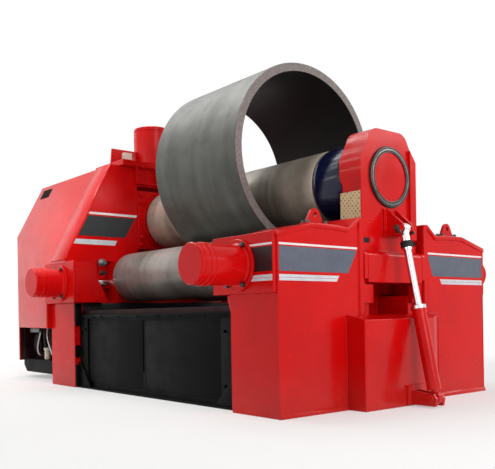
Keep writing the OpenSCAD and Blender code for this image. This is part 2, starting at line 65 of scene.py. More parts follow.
def add(tree, kind, settings=None, links=None):
    """Adds a node, with its properties and constant sockets, and links its inputs."""
    node = tree.nodes.new(kind)
    for key, value in (settings or {}).items():
        if isinstance(key, str) and hasattr(node, key):
            setattr(node, key, value)
        else:
            node.inputs[key].default_value = value
    for key, source in (links or {}).items():
        tree.links.new(source, node.inputs[key])
    return node


def start_finish(name, **sockets):
    """A new material with its shader, and the object's own coordinates to lay patterns on."""
    material = bpy.data.materials.new(name)
    material.use_nodes = True
    tree = material.node_tree
    tree.nodes.clear()
    shader = add(tree, "ShaderNodeBsdfPrincipled", {key.replace("_", " "): value for key, value in sockets.items()})
    add(tree, "ShaderNodeOutputMaterial", None, {"Surface": shader.outputs[0]})
    return material, tree, shader, add(tree, "ShaderNodeTexCoord").outputs["Object"]


def noise(tree, place, scale, detail=2.0, roughness=0.5, distortion=0.0):
    """A cloudy pattern."""
    return add(tree, "ShaderNodeTexNoise", {"Scale": scale, "Detail": detail, "Roughness": roughness,
                                            "Distortion": distortion}, {"Vector": place}).outputs[0]


def scaled(tree, place, settings):
    """The coordinates, turned or stretched."""
    return add(tree, "ShaderNodeMapping", settings, {"Vector": place}).outputs[0]


def ramp(tree, source, low, high, start=0.0, end=1.0):
    """Stretches the values from low to high over start to end, and holds them beyond."""
    return add(tree, "ShaderNodeMapRange", {1: low, 2: high, 3: start, 4: end}, {0: source}).outputs[0]


def blend(tree, share, first, second):
    """Goes from the first colour to the second one. Each is sRGB hex or a socket."""
    settings, links = {"data_type": "RGBA"}, {0: share}
    for socket, colour in ((6, first), (7, second)):
        if isinstance(colour, str):
            settings[socket] = linear(colour)
        else:
            links[socket] = colour
    return add(tree, "ShaderNodeMix", settings, links).outputs[2]


def relief(tree, height, strength, distance, under=None):
    """A fine relief, laid over another one if there is one."""
    links = {"Height": height} if under is None else {"Height": height, "Normal": under}
    return add(tree, "ShaderNodeBump", {"Strength": strength, "Distance": distance}, links).outputs[0]


def wire(tree, shader, **sources):
    """Links sources to the shader's sockets of those names."""
    for name, source in sources.items():
        tree.links.new(source, shader.inputs[name.replace("_", " ")])


def sprayed_enamel(name, colour, deep, roughness, level, peel=0.35, dust="A08478", dust_amount=0.35):
    """Machine enamel sprayed over welded plate.

    The eye gets an even coat with a slow drift of tone where it is thicker, plate that isn't quite flat under
    its gloss, a fine orange peel, rubbed patches that shine less, and shop dust that settles near the floor.
    """
    material, tree, shader, place = start_finish(name, Specular_IOR_Level=level)
    coat = blend(tree, ramp(tree, noise(tree, place, 1.3, 5.0, 0.6), 0.35, 0.68), colour, deep)
    height = add(tree, "ShaderNodeSeparateXYZ", None, {0: place}).outputs["Z"]
    specks = noise(tree, place, 22.0, 6.0, 0.7)
    dusted = add(tree, "ShaderNodeMath", {"operation": "MULTIPLY"},
                 {0: ramp(tree, height, 0.42, 0.0, 0.0, dust_amount), 1: specks})
    rubbed = noise(tree, place, 5.5, 7.0, 0.65, 0.6)
    # Welding draws heavy plate by a millimetre or so over half a metre
    waves = relief(tree, noise(tree, place, 2.2, 1.0), 0.5, 6 * MM)
    # Orange peel is 2 to 3 mm across; it is drawn at 9 mm to show
    skin = relief(tree, noise(tree, place, 1 / (9 * MM)), peel, 0.25 * MM, waves)
    wire(tree, shader, Base_Color=blend(tree, dusted.outputs[0], coat, dust),
         Roughness=ramp(tree, rubbed, 0.42, 0.72, roughness, roughness + 0.16), Normal=skin)
    return material


def machined_steel(name, light, dark, roughness, mark, metallic, spread, bump=0.2):
    """Steel turned or rolled, with its axis along X.

    The eye gets fine rings across the roll from the tool, broad soft bands round it, and darker oxide clouds.
    """
    material, tree, shader, place = start_finish(name, Metallic=metallic)
    # Feed marks are under a millimetre apart; they are drawn wider to show
    rings = noise(tree, scaled(tree, place, {"Scale": (1 / mark, 1.2, 1.2)}), 1.0, 5.0, 0.7)
    bands = noise(tree, scaled(tree, place, {"Scale": (4.2, 0.5, 0.5)}), 1.0, 6.0, 0.55, 0.3)
    cloud = noise(tree, place, 2.6, 8.0, 0.66)
    mixed = add(tree, "ShaderNodeMath", {"operation": "MULTIPLY_ADD", 1: 0.8}, {0: cloud, 2: bands})
    both = add(tree, "ShaderNodeMath", {"operation": "MULTIPLY_ADD", 1: 0.25}, {0: rings, 2: mixed.outputs[0]})
    middle = (1 + 0.8 + 0.25) / 2
    share = ramp(tree, both.outputs[0], middle - spread, middle + spread)
    wire(tree, shader, Base_Color=blend(tree, share, dark, light),
         Roughness=ramp(tree, cloud, 0.3, 0.7, roughness + 0.08, roughness - 0.06),
         Normal=relief(tree, rings, bump, 0.4 * MM))
    return material


def plain_metal(name, light, dark, roughness, grain, metallic=1.0, bump=0.12, level=0.5):
    """Bare or coated metal with a fine grain: a mottle of two tones, and a surface that breaks its highlight."""
    material, tree, shader, place = start_finish(name, Metallic=metallic, Specular_IOR_Level=level)
    mottle = noise(tree, place, grain, 6.0, 0.65)
    wire(tree, shader, Base_Color=blend(tree, ramp(tree, mottle, 0.36, 0.64), dark, light),
         Roughness=ramp(tree, mottle, 0.3, 0.7, roughness - 0.05, roughness + 0.07),
         Normal=relief(tree, mottle, bump, 0.5 * MM))
    return material


def satin_vinyl(name, light, dark, roughness):
    """Film laid on the enamel: flat colour with a satin face."""
    return plain_metal(name, light, dark, roughness, grain=9.0, metallic=0.0, bump=0.02, level=0.4)


# Places that several pieces share
frame_low, frame_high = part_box("drop_end_frame")
END_X = frame_high.x
FRAME_X = frame_low.x
FRONT_Y = frame_low.y
plate_low, plate_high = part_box("drop_mounting_plates")
PLATE_Y = plate_low.y
hood_low, hood_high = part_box("drive_housing")
HOOD_X = hood_high.x
top_low, top_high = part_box("top_roll")
TOP_Z = (top_low.z + top_high.z) / 2
shell_low, shell_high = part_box("rolled_shell")
SHELL_Z = (shell_low.z + shell_high.z) / 2
YOKE_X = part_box("yoke_ring")[0].x
ram_low, ram_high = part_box("front_drop_ram")
RAM_X, RAM_Z = (ram_low.x + ram_high.x) / 2, (ram_low.z + ram_high.z) / 2

# Two-pack machine enamel: saturated gloss red on all the welded plate
red_enamel = sprayed_enamel("gloss_red_machine_enamel", "D80B0C", "C4080A", 0.15, 0.17, 0.3, "9A7A6E", 0.2)
# The same enamel darkened nearly to black: painted shade on the bed that little light reaches, and in the bay under
# the hood
painted_shade_red_enamel = sprayed_enamel("painted_shade_dark_red_enamel", "2C090A", "170506", 0.5, 0.15, 0.2)
# Satin black enamel on the panels and the skid: soft sheen, pale dust along the foot
black_enamel = sprayed_enamel("satin_black_enamel", "0B0C0C", "060707", 0.42, 0.06, 0.4, "34312C", 0.15)
# Gloss navy enamel on the cone seat of the top roll: deep blue with bright bands where it mirrors the hall
navy_enamel = sprayed_enamel("gloss_navy_enamel", "0D1340", "070A22", 0.14, 0.35, 0.2)
# Forged alloy steel, rough turned and worn by plate: warm brown grey with tool rings
top_roll_steel = machined_steel("turned_forged_steel_top_roll", "D2C9BA", "8A8071", 0.42, 8 * MM, 0.35, 0.24)
side_roll_steel = machined_steel("turned_forged_steel_side_rolls", "ABA59E", "6B665F", 0.4, 8 * MM, 0.35, 0.24)
# Hot rolled plate bent round: dull olive grey mill scale with broad soft bands where the rolls polish it
shell_scale = machined_steel("hot_rolled_mill_scale", "595A52", "383933", 0.4, 40 * MM, 0.3, 0.22, 0.08)
# The same scale inside the shell, painted nearly black as the shade inside it
shell_inside_painted_shade = plain_metal("mill_scale_darkened_as_painted_shade", "222224", "17171A", 0.55, 5.0, 0.2, 0.1, 0.3)
# The plate's flame cut edge: lighter, warm lilac grey, with fine drag specks
shell_edge = plain_metal("flame_cut_plate_edge", "938A87", "6F6864", 0.6, 70.0, 0.15, 0.25, 0.3)
# Hard chrome on piston rods: a clean mirror that only grinding lines break
hard_chrome = plain_metal("ground_hard_chrome", "E6E8EA", "D2D5D8", 0.12, 24.0, 1.0, 0.03)
# Turned bearing steel of the ring on the yoke: mid grey, with a satin break
ring_steel = plain_metal("turned_bearing_steel", "85837F", "5E5C59", 0.3, 9.0)
# Zinc plated bolts, dulled by oil
bolt_steel = plain_metal("oiled_zinc_plated_bolts", "6D6E6C", "35383A", 0.38, 220.0)
# Vinyl of the broad band: one band, painted slate blue grey as light on the lit end face, charcoal as half shade on
# the hood and black as shade on the front plates
band_vinyl_painted_lit = satin_vinyl("satin_band_vinyl_painted_lit", "5C6270", "525866", 0.4)
band_vinyl_painted_half_shade = satin_vinyl("satin_band_vinyl_painted_half_shade", "2F3234", "292C2E", 0.42)
band_vinyl_painted_shade = satin_vinyl("satin_band_vinyl_painted_shade", "17171A", "101013", 0.36)
# Vinyl of the thin lines
white_vinyl = satin_vinyl("satin_white_vinyl", "F2EFEE", "E6E2E1", 0.4)
silver_vinyl = satin_vinyl("satin_silver_vinyl", "D9DEE2", "C4CAD0", 0.38)
# Cream powder coat on the junction box and the return filter
cream_coat = plain_metal("cream_powder_coat", "E4E0CF", "D8D3C0", 0.5, 140.0, 0.0, 0.1)
# Matt black of rubber and cast fittings, of the black strip under the rolls, and of the dark rings and notch blocks
# that are painted shade
black_rubber_and_shade = plain_metal("black_rubber_and_painted_shade", "1E1E1E", "121212", 0.6, 180.0, 0.0, 0.3, 0.3)
# Phosphated steel of hydraulic fittings: dull grey
grey_fitting = plain_metal("phosphated_steel_fitting", "8A8B88", "595B59", 0.42, 120.0)
# Steel tube, zinc plated, for the hydraulic lines
tube_steel = plain_metal("zinc_plated_steel_tube", "B9BBB8", "8E918E", 0.3, 90.0)


def dimpled_bronze():
    """Cast bronze wear plate, milled and pressed with slanting rows of oil pockets.

    The eye gets a pale tan face with a regular diagonal hatch of small dark pits, and a dry, grainy sheen.
    """
    material, tree, shader, place = start_finish("dimpled_bronze_wear_plate", Metallic=0.35, Roughness=0.48)
    # Pockets are 12 mm apart; they are drawn at 33 mm to show
    slanted = scaled(tree, place, {"Rotation": (0, math.radians(38), 0), "Scale": (30.0, 30.0, 30.0)})
    cells = add(tree, "ShaderNodeTexVoronoi", {"Scale": 1.0, "Randomness": 0.12}, {"Vector": slanted})
    pits = ramp(tree, cells.outputs["Distance"], 0.22, 0.42)
    face = blend(tree, noise(tree, place, 12.0, 6.0), "CDB98E", "BCA47A")
    wire(tree, shader, Base_Color=blend(tree, pits, "5E4A2E", face), Normal=relief(tree, pits, 0.6, 1.5 * MM))
    return material


wear_bronze = dimpled_bronze()
NODE_FINISH = {"red_paint": red_enamel, "dark_red_paint": painted_shade_red_enamel, "black_paint": black_enamel,
               "navy_paint": navy_enamel, "roll_steel": top_roll_steel, "bearing_steel": ring_steel,
               "chrome": hard_chrome, "bronze": wear_bronze, "plate_steel": shell_scale}

# ---- Modelling by hand


def only(piece):
    """Makes one piece the only selected one, and the active one."""
    bpy.ops.object.select_all(action="DESELECT")
    piece.select_set(True)
    bpy.context.view_layer.objects.active = piece


def pick(piece, kind, test):
    """Goes into edit mode with just the faces, edges or vertices that pass the test selected."""
    only(piece)
    bpy.ops.object.mode_set(mode="EDIT")
    bpy.ops.mesh.select_mode(type=kind)
    bpy.ops.mesh.select_all(action="DESELECT")
    bpy.ops.object.mode_set(mode="OBJECT")
    for item in {"FACE": piece.data.polygons, "EDGE": piece.data.edges, "VERT": piece.data.vertices}[kind]:
        item.select = bool(test(item))
    bpy.ops.object.mode_set(mode="EDIT")


def leave():
    """Goes back to object mode."""
    bpy.ops.object.mode_set(mode="OBJECT")


def everything(_):
    """Passes any face, edge or vertex."""
    return True


def modify(piece, kind, **settings):
    """Applies one modifier to a piece."""
    only(piece)
    modifier = piece.modifiers.new(kind.lower(), kind)
    for key, value in settings.items():
        setattr(modifier, key, value)
    bpy.ops.object.modifier_apply(modifier=modifier.name)


def rounded(piece, width, angle=30):
    """Breaks the sharp edges by that width, and shades what is left smooth."""
    if width:
        modify(piece, "BEVEL", width=width, segments=2, limit_method="ANGLE", angle_limit=math.radians(angle),
               harden_normals=False)
    only(piece)
    bpy.ops.object.shade_smooth_by_angle(angle=math.radians(angle))
    return piece


def settled(piece, name):
    """Puts a new piece's place into its mesh, and names it."""
    only(piece)
    bpy.ops.object.transform_apply(location=True, rotation=True, scale=True)
    piece.name = piece.data.name = name
    return piece


def outward(piece):
    """Merges doubles and turns every face outwards."""
    pick(piece, "VERT", everything)
    bpy.ops.mesh.remove_doubles(threshold=0.01 * MM)
    bpy.ops.mesh.dissolve_degenerate(threshold=0.01 * MM)
    bpy.ops.mesh.normals_make_consistent(inside=False)
    leave()
    return piece


def block(name, low, high, width=3 * MM):
    """A plate or bar between two opposite corners, with broken edges."""
    low, high = Vector(low), Vector(high)
    bpy.ops.mesh.primitive_cube_add(size=1, location=(low + high) / 2)
    piece = bpy.context.object
    piece.scale = high - low
    return rounded(settled(piece, name), width)


def cut_plate(name, corners, push, width=2 * MM):
    """A plate cut to an outline, and given its thickness by extruding it."""
    bpy.ops.mesh.primitive_circle_add(vertices=len(corners), radius=1, fill_type="NGON", location=(0, 0, 0))
    piece = bpy.context.object
    for vertex, corner in zip(piece.data.vertices, corners):
        vertex.co = corner
    pick(piece, "FACE", everything)
    bpy.ops.mesh.extrude_region_move(TRANSFORM_OT_translate={"value": push})
    leave()
    return rounded(outward(settled(piece, name)), width)


def upright(name, y, outline, reach, width=2 * MM):
    """A plate whose outline of (x, z) stands at one y, and that reaches on along Y."""
    return cut_plate(name, [(x, y, z) for x, z in outline], (0, reach, 0), width)


def along(direction):
    """The turn that takes +Z to a direction."""
    return Vector(direction).to_track_quat("Z", "Y").to_matrix().to_4x4()


def turned(name, start, direction, profile, steps=64, ring=False):
    """A part turned on a lathe: a profile of (along, radius) points spun about a line from the start point."""
    bpy.ops.mesh.primitive_circle_add(vertices=len(profile), radius=1, fill_type="NOTHING", location=(0, 0, 0))
    piece = bpy.context.object
    for vertex, (height, radius) in zip(piece.data.vertices, profile):
        vertex.co = (radius, 0, height)
    if not ring:
        last = len(profile) - 1
        pick(piece, "EDGE", lambda edge: set(edge.vertices) == {0, last})
        bpy.ops.mesh.delete(type="EDGE")
        leave()
    pick(piece, "VERT", everything)
    bpy.ops.mesh.spin(steps=steps, angle=2 * math.pi, center=(0, 0, 0), axis=(0, 0, 1))
    leave()
    piece.matrix_world = Matrix.Translation(Vector(start)) @ along(direction)
    return rounded(outward(settled(piece, name)), 0)


def copy_of(piece, change=None):
    """Another of the same, with its own mesh, moved or turned by a matrix."""
    twin = bpy.data.objects.new(piece.name, piece.data.copy())
    bpy.context.scene.collection.objects.link(twin)
    if change is not None:
        twin.data.transform(change)
        if change.determinant() < 0:
            twin.data.flip_normals()
    return twin


def joined(name, pieces):
    """Joins pieces into one."""
    bpy.ops.object.select_all(action="DESELECT")
    for piece in pieces:
        piece.select_set(True)
    bpy.context.view_layer.objects.active = pieces[0]
    if len(pieces) > 1:
        bpy.ops.object.join()
    pieces[0].name = pieces[0].data.name = name
    return pieces[0]


SIDES = ((-1, "front"), (1, "rear"))
REAR = Matrix.Scale(-1, 4, (0, 1, 0))


def both_halves(piece):
    """The piece and its mirror image on the rear half, as one."""
    return joined(piece.name, [piece, copy_of(piece, REAR)])


def fitted(piece, body, slot, finish, *replaced):
    """Gives a piece its finish, and hangs it on its body."""
    piece.data.materials.clear()
    piece.data.materials.append(finish)
    if replaced:
        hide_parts(*replaced)
    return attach(piece, body)


def red_part(piece, *replaced, body="machine"):
    """Fits a welded piece in the machine's red enamel."""
    return fitted(piece, body, "red_paint", red_enamel, *replaced)


def black_part(piece, finish=black_rubber_and_shade, body="machine"):
    """Fits a piece in black."""
    return fitted(piece, body, "black_paint", finish)


def steel_part(piece, finish, body="machine"):
    """Fits a piece of bare or plated metal."""
    return fitted(piece, body, "bearing_steel", finish)


def softened(node, width, finish=None, corner=None, corner_width=0.0):
    """The CAD node's own shape with its edges broken, its cylinders smooth and its finish on.

    The edges along X that pass the corner test are rounded first, by the wider corner_width.
    """
    piece = bpy.data.objects.new(node + "_finished", frame["nodes"][node].data.copy())
    bpy.context.scene.collection.objects.link(piece)
    pick(piece, "VERT", everything)
    bpy.ops.mesh.remove_doubles(threshold=0.02 * MM)
    bpy.ops.mesh.dissolve_limited(angle_limit=math.radians(0.5))
    leave()
    if corner:
        ends = [vertex.co.copy() for vertex in piece.data.vertices]
        pick(piece, "EDGE", lambda edge: all(corner(ends[end]) for end in edge.vertices)
             and abs(ends[edge.vertices[0]].x - ends[edge.vertices[1]].x) > 10 * MM)
        bpy.ops.mesh.bevel(offset=corner_width, segments=7, affect="EDGES")
        leave()
    rounded(piece, width)
    # Flat plate stays flat to the light, and only the broken edges bend it
    modify(piece, "WEIGHTED_NORMAL", keep_sharp=True)
    return fitted(piece, NODE_BODY[node], NODE_SLOT[node], finish or NODE_FINISH[NODE_SLOT[node]], node)


# How far each node's sharp edges are broken, in millimetres
EDGE_BREAK = {
    "drop_end_frame": 9, "cheek_strips": 5, "foot_box": 9, "drop_mounting_plates": 5, "drop_brackets": 5,
    "front_drop_block": 5, "rear_drop_block": 5, "front_drive_block": 5, "rear_drive_block": 5,
    "front_piston_rods": 2, "rear_piston_rods": 2, "top_roll": 6, "neck_flange": 6,
    "top_bearing_block": 5, "yoke_ring": 3, "yoke_wear_plates": 3, "crosshead": 5, "tilt_bracket": 3,
    "hinge_shoes": 4, "tilt_clevis": 4, "tilt_barrel": 4, "tilt_rod": 1, "tilt_rod_end": 2, "drive_column": 9,
    "drive_mounting_plates": 5, "drive_brackets": 5, "drive_housing": 9, "tower_shelf": 4, "tower_lugs": 4,
    "housing_skid": 6, "housing_core": 4, "centre_bed": 5, "bed_rails": 4, "side_panels": 3, "lifting_lugs": 3,
    "front_roll": 8, "rear_roll": 8, "rolled_shell": 10,
}
ROLL_FINISH = {"front_roll": side_roll_steel, "rear_roll": side_roll_steel}
finished = {node: softened(node, width * MM, ROLL_FINISH.get(node)) for node, width in EDGE_BREAK.items()}

# The head of the yoke is flame cut with well rounded top corners
YOKE_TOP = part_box("yoke")[1].z
softened("yoke", 9 * MM, corner=lambda end: end.z > YOKE_TOP - 2 * MM, corner_width=0.075)

# The shell's edge has a finish of its own, and its inner faces take the scale darkened as painted shade
shell = finished["rolled_shell"]
shell.data.materials.append(shell_edge)
shell.data.materials.append(shell_inside_painted_shade)
for face in shell.data.polygons:
    from_axis = Vector((0, face.center.y, face.center.z - SHELL_Z))
    if abs(face.normal.x) > 0.5:
        face.material_index = 1
    elif face.normal.dot(from_axis) < 0:
        face.material_index = 2

# ---- Hardware that repeats


def hex_bolt(across):
    """A hexagon bolt head on its washer, standing on z = 0, for that width across its flats."""
    tall, washer_tall = across * 0.62, across * 0.124
    bpy.ops.mesh.primitive_cylinder_add(vertices=20, radius=across * 0.68, depth=washer_tall,
                                        location=(0, 0, washer_tall / 2))
    washer = settled(bpy.context.object, "washer")
    # The head's foot sinks a little into the washer
    bpy.ops.mesh.primitive_cylinder_add(vertices=6, radius=across / math.sqrt(3), depth=tall,
                                        location=(0, 0, tall * 0.65))
    head = settled(bpy.context.object, "head")
    pick(head, "FACE", lambda face: face.normal.z > 0.9)
    bpy.ops.mesh.inset(thickness=across * 0.09, depth=across * 0.06)
    leave()
    return joined("bolt", [washer, head])


def bolts(name, across, places, direction, body="machine", slot="bearing_steel", finish=bolt_steel):
    """Bolt heads at several places, all standing the same way, as one piece."""
    one = hex_bolt(across)
    turn = along(direction)
    row = [copy_of(one, Matrix.Translation(Vector(place)) @ turn) for place in places]
    bpy.data.objects.remove(one)
    return fitted(rounded(joined(name, row), 0), body, slot, finish)


WELD_WAIST = 0.72  # radius between a weld's ripples, as a share of the full one


def weld(start, end, radius=6 * MM, pitch=24 * MM):
    """A rippled weld bead between two points. Real ripples are 4 mm apart; they are spaced out to show."""
    start, end = Vector(start), Vector(end)
    length = (end - start).length
    count = max(2, round(length / pitch))
    step = length / count
    bpy.ops.mesh.primitive_cylinder_add(vertices=8, radius=radius * WELD_WAIST, depth=step,
                                        end_fill_type="NOTHING", location=(0, 0, step / 2))
    bead = settled(bpy.context.object, "weld")
    pick(bead, "FACE", everything)
    bpy.ops.mesh.bisect(plane_co=(0, 0, step * 0.55), plane_no=(0, 0, 1))
    leave()
    for vertex in bead.data.vertices:
        if 0.1 * step < vertex.co.z < 0.9 * step:
            vertex.co.x, vertex.co.y = vertex.co.x / WELD_WAIST, vertex.co.y / WELD_WAIST
    modify(bead, "ARRAY", count=count, use_relative_offset=False, use_constant_offset=True,
           constant_offset_displace=(0, 0, step), use_merge_vertices=True, merge_threshold=0.1 * MM)
    pick(bead, "VERT", everything)
    bpy.ops.mesh.fill_holes(sides=0)
    leave()
    bead.matrix_world = Matrix.Translation(start) @ along(end - start)
    return outward(settled(bead, "weld"))


def welds(name, lines, body="machine"):
    """Weld beads along several lines, and along their mirror images on the rear half, as one piece."""
    beads = both_halves(joined(name, [weld(*line) for line in lines]))
    return red_part(rounded(beads, 0, angle=60), body=body)


def tube(name, points, radius, finish):
    """A bent steel tube through the points."""
    line = bpy.data.curves.new(name, "CURVE")
    line.dimensions = "3D"
    line.bevel_depth = radius
    line.bevel_resolution = 3
    line.resolution_u = 8
    line.use_fill_caps = True
    spline = line.splines.new("NURBS")
    spline.points.add(len(points) - 1)
    for knot, point in zip(spline.points, points):
        knot.co = (*point, 1)
    spline.use_endpoint_u = True
    spline.order_u = 3
    piece = bpy.data.objects.new(name, line)
    bpy.context.scene.collection.objects.link(piece)
    only(piece)
    bpy.ops.object.convert(target="MESH")
    return black_part(rounded(outward(bpy.context.object), 0, angle=50), finish)


# ---- Side cylinders: turned barrels with rings near the outer end, on round bolted flanges

FLANGE_T = 30 * MM
FLANGE_R = (ram_high.x - ram_low.x) / 2
BARREL_R = 172 * MM


def ram_profile(length):
    """The outline of a side cylinder, from the bore out over the flange and along to the closed end."""
    return [(length - 0.060, 0), (length - 0.060, 0.075), (0.070, 0.075), (0.070, 0.0603), (0, 0.0603),
            (0, FLANGE_R - 0.004), (0.004, FLANGE_R), (FLANGE_T - 0.005, FLANGE_R), (FLANGE_T, FLANGE_R - 0.005),
            (FLANGE_T, BARREL_R + 0.012), (FLANGE_T + 0.012, BARREL_R), (length - 0.170, BARREL_R),
            (length - 0.166, BARREL_R + 0.006), (length - 0.148, BARREL_R + 0.006), (length - 0.144, BARREL_R),
            (length - 0.128, BARREL_R), (length - 0.124, BARREL_R + 0.007), (length - 0.096, BARREL_R + 0.007),
            (length - 0.092, BARREL_R), (length - 0.045, BARREL_R), (length - 0.042, BARREL_R - 0.005),
            (length - 0.034, BARREL_R - 0.005), (length - 0.031, BARREL_R), (length - 0.010, BARREL_R),
            (length, BARREL_R - 0.010), (length, 0)]


# The four flange bolts sit on a circle between the barrel and the flange's rim
BOLT_SPREAD = [(sx * 0.105, sz * 0.166) for sx in (-1, 1) for sz in (-1, 1)]
for side, half in SIDES:
    for end, name in ((1, "drop"), (-1, "drive")):
        node = f"{half}_{name}_ram"
        node_low, node_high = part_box(node)
        start = Vector((end * RAM_X, side * abs(PLATE_Y), RAM_Z))
        ram = turned(f"{node}_turned", start, (0, side, 0), ram_profile(node_high.y - node_low.y), 72)
        red_part(ram, node)
        bolts(f"{node}_bolts", 0.036, [start + Vector((dx, side * FLANGE_T, dz)) for dx, dz in BOLT_SPREAD],
              (0, side, 0))

# ---- Bare vinyl bands: a broad dark band, a thin white line over it and a pale double line under it


def strip(name, place, outwards, finish, upper, lower, side=1):
    """A band of film a millimetre thick on a flat face, between two level lines of (from, to, height)."""
    sunk = Vector(outwards) * 0.3 * MM
    corners = ((upper[0], upper[2]), (upper[1], upper[2]), (lower[1], lower[2]), (lower[0], lower[2]))
    piece = cut_plate(name, [Vector(place(side * across, z)) - sunk for across, z in corners],
                      Vector(outwards) * 1.6 * MM, 0)
    return (steel_part if finish in (white_vinyl, silver_vinyl) else black_part)(piece, finish)


def on_end(y, z):
    """A point on the end face of the drop-end frame."""
    return END_X, y, z


def on_plate(x, z):
    """A point on the face of the front mounting plates."""
    return x, PLATE_Y, z


def on_hood(y, z):
    """A point on the face of the hood towards the rolls."""
    return HOOD_X, y, z


# Heights of each band's upper and lower edge
BROAD, WHITE, PALE = (1.396, 1.194), (1.424, 1.407), ((1.168, 1.1445), (1.1415, 1.118))
# Where the bands start at the frame's edge, and how far the pale lines' inner ends slant for each metre down
EDGE_Y, PALE_SLANT = 1.452, 0.6
# The two halves of the end face are cut a little differently round the slot
# On the end face the broad band is painted lighter slate, as painted light
for (side, half), (inner, foot, pale) in zip(SIDES, ((0.515, 0.635, 0.752), (0.503, 0.590, 0.705))):
    lines = [("band", band_vinyl_painted_lit, inner + 0.005, foot, BROAD), ("white_line", white_vinyl, inner, inner, WHITE)]
    lines += [(f"pale_line_{row}", silver_vinyl, *(pale + (PALE[0][0] - z) * PALE_SLANT for z in heights), heights)
              for row, heights in enumerate(PALE)]
    for kind, finish, y_up, y_low, (z_up, z_low) in lines:
        strip(f"{half}_end_{kind}", on_end, (1, 0, 0), finish, (EDGE_Y, y_up, z_up), (EDGE_Y, y_low, z_low), side)

# On the front plates the broad band is painted black, as painted shade
PLATE_BAND_X = 1.766, plate_high.x - 0.010
for kind, finish, (z_up, z_low) in (("band", band_vinyl_painted_shade, BROAD), ("white_line", white_vinyl, WHITE),
                                    ("pale_line_0", silver_vinyl, PALE[0]), ("pale_line_1", silver_vinyl, PALE[1])):
    both_halves(strip(f"front_plate_{kind}", on_plate, (0, -1, 0), finish,
                      (*PLATE_BAND_X, z_up), (*PLATE_BAND_X, z_low)))

# On the hood the broad band is painted charcoal, as painted half shade
for side, half in SIDES:
    for kind, finish, upper, lower in (
            ("band", band_vinyl_painted_half_shade, (1.142, 0.471, 2.112), (1.281, 0.624, 1.856)),
            ("white_line", white_vinyl, (1.118, 0.440, 2.158), (1.133, 0.455, 2.130)),
            ("pale_line", silver_vinyl, (1.309, 0.741, 1.812), (1.345, 0.771, 1.750))):
        strip(f"{half}_hood_{kind}", on_hood, (1, 0, 0), finish, upper, lower, side)

# ---- Drop-end frame: roof plates with a lip, base plates, corner strips and welds

ROOF = [(-1.465, 1.500), (-1.080, 1.600), (-0.815, 1.600), (-0.635, 1.585), (-0.495, 1.690)]
ROOF_X = FRAME_X + 4 * MM
LIP_UP, LIP_DOWN, LIP_OUT = 6 * MM, 36 * MM, 14 * MM
eaves = [(y - (LIP_OUT if y == ROOF[0][0] else 0), z) for y, z in ROOF]
lip = [(ROOF_X, y, z + LIP_UP) for y, z in eaves] + [(ROOF_X, y, z - LIP_DOWN) for y, z in reversed(eaves)]
red_part(both_halves(cut_plate("roof_plates", lip, (END_X + LIP_OUT - ROOF_X, 0, 0), 5 * MM)))

foot_low, foot_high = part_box("foot_box")
base_outline = [(END_X - 0.030, 0.001), (END_X + 0.018, 0.001), (END_X + 0.018, 0.026), (END_X + 0.003, 0.048),
                (END_X - 0.030, 0.048)]
red_part(both_halves(upright("base_plates", FRONT_Y - 4 * MM, base_outline, foot_low.y - FRONT_Y, 3 * MM)))

# Flared gussets where the mounting plates overhang the inner edges of the frame
flare = [(FRAME_X + x, z) for x, z in ((0.004, 0.850), (0.004, 1.014), (-0.052, 1.014), (-0.040, 0.960),
                                       (-0.022, 0.910), (-0.006, 0.868))]
red_part(both_halves(upright("frame_gussets", FRONT_Y + 1 * MM, flare, 0.110, 4 * MM)))
red_part(both_halves(turned("corner_bars", (END_X - 5 * MM, FRONT_Y + 5 * MM, 0.04), (0, 0, 1),
                            [(0, 0), (0, 0.010), (1.43, 0.010), (1.43, 0)], 12)))

cheek_low, cheek_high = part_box("cheek_strips")
CHEEK_Y = -0.495
welds("frame_welds", [
    ((END_X, CHEEK_Y - 3 * MM, cheek_low.z), (END_X, CHEEK_Y - 3 * MM, cheek_high.z - 0.1), 8 * MM, 30 * MM),
    ((cheek_high.x - 2 * MM, CHEEK_Y + 2 * MM, cheek_low.z), (cheek_high.x - 2 * MM, CHEEK_Y + 2 * MM, 1.66),
     6 * MM, 30 * MM),
    ((END_X, foot_low.y - 4 * MM, 0.04), (END_X, foot_low.y - 4 * MM, foot_high.z - 0.04), 8 * MM),
    ((END_X + 2 * MM, -0.660, foot_high.z), (END_X + 2 * MM, CHEEK_Y, foot_high.z), 8 * MM),
    ((plate_low.x + 0.20, FRONT_Y, 1.016), (plate_high.x, FRONT_Y, 1.016), 7 * MM),
    ((plate_high.x + 4 * MM, FRONT_Y - 2 * MM, 1.03), (plate_high.x + 4 * MM, FRONT_Y - 2 * MM, 1.46), 5 * MM),
    ((FRAME_X, FRONT_Y + 4 * MM, 0.04), (FRAME_X, FRONT_Y + 4 * MM, 0.98), 6 * MM),
])
lug_low, lug_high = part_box("lifting_lugs")
LUG_X, LUG_Y, LUG_FOOT_Z = (lug_low.x + lug_high.x) / 2, 0.955, 1.615
for side, half in SIDES:
    bolts(f"{half}_lug_bolts", 0.030,
          [(LUG_X + dx, side * (LUG_Y + dy), LUG_FOOT_Z) for dx in (-0.030, 0.030) for dy in (-0.105, 0.105)],
          (0, 0, 1))

# ---- Black side panels: sheets either side of a slot, posts, a bolted top rail, gussets and a floor angle

PANEL_X, PANEL_Y, RAIL_Z, POST_Z = 1.553, -1.315, 0.843, (0.022, 0.823)
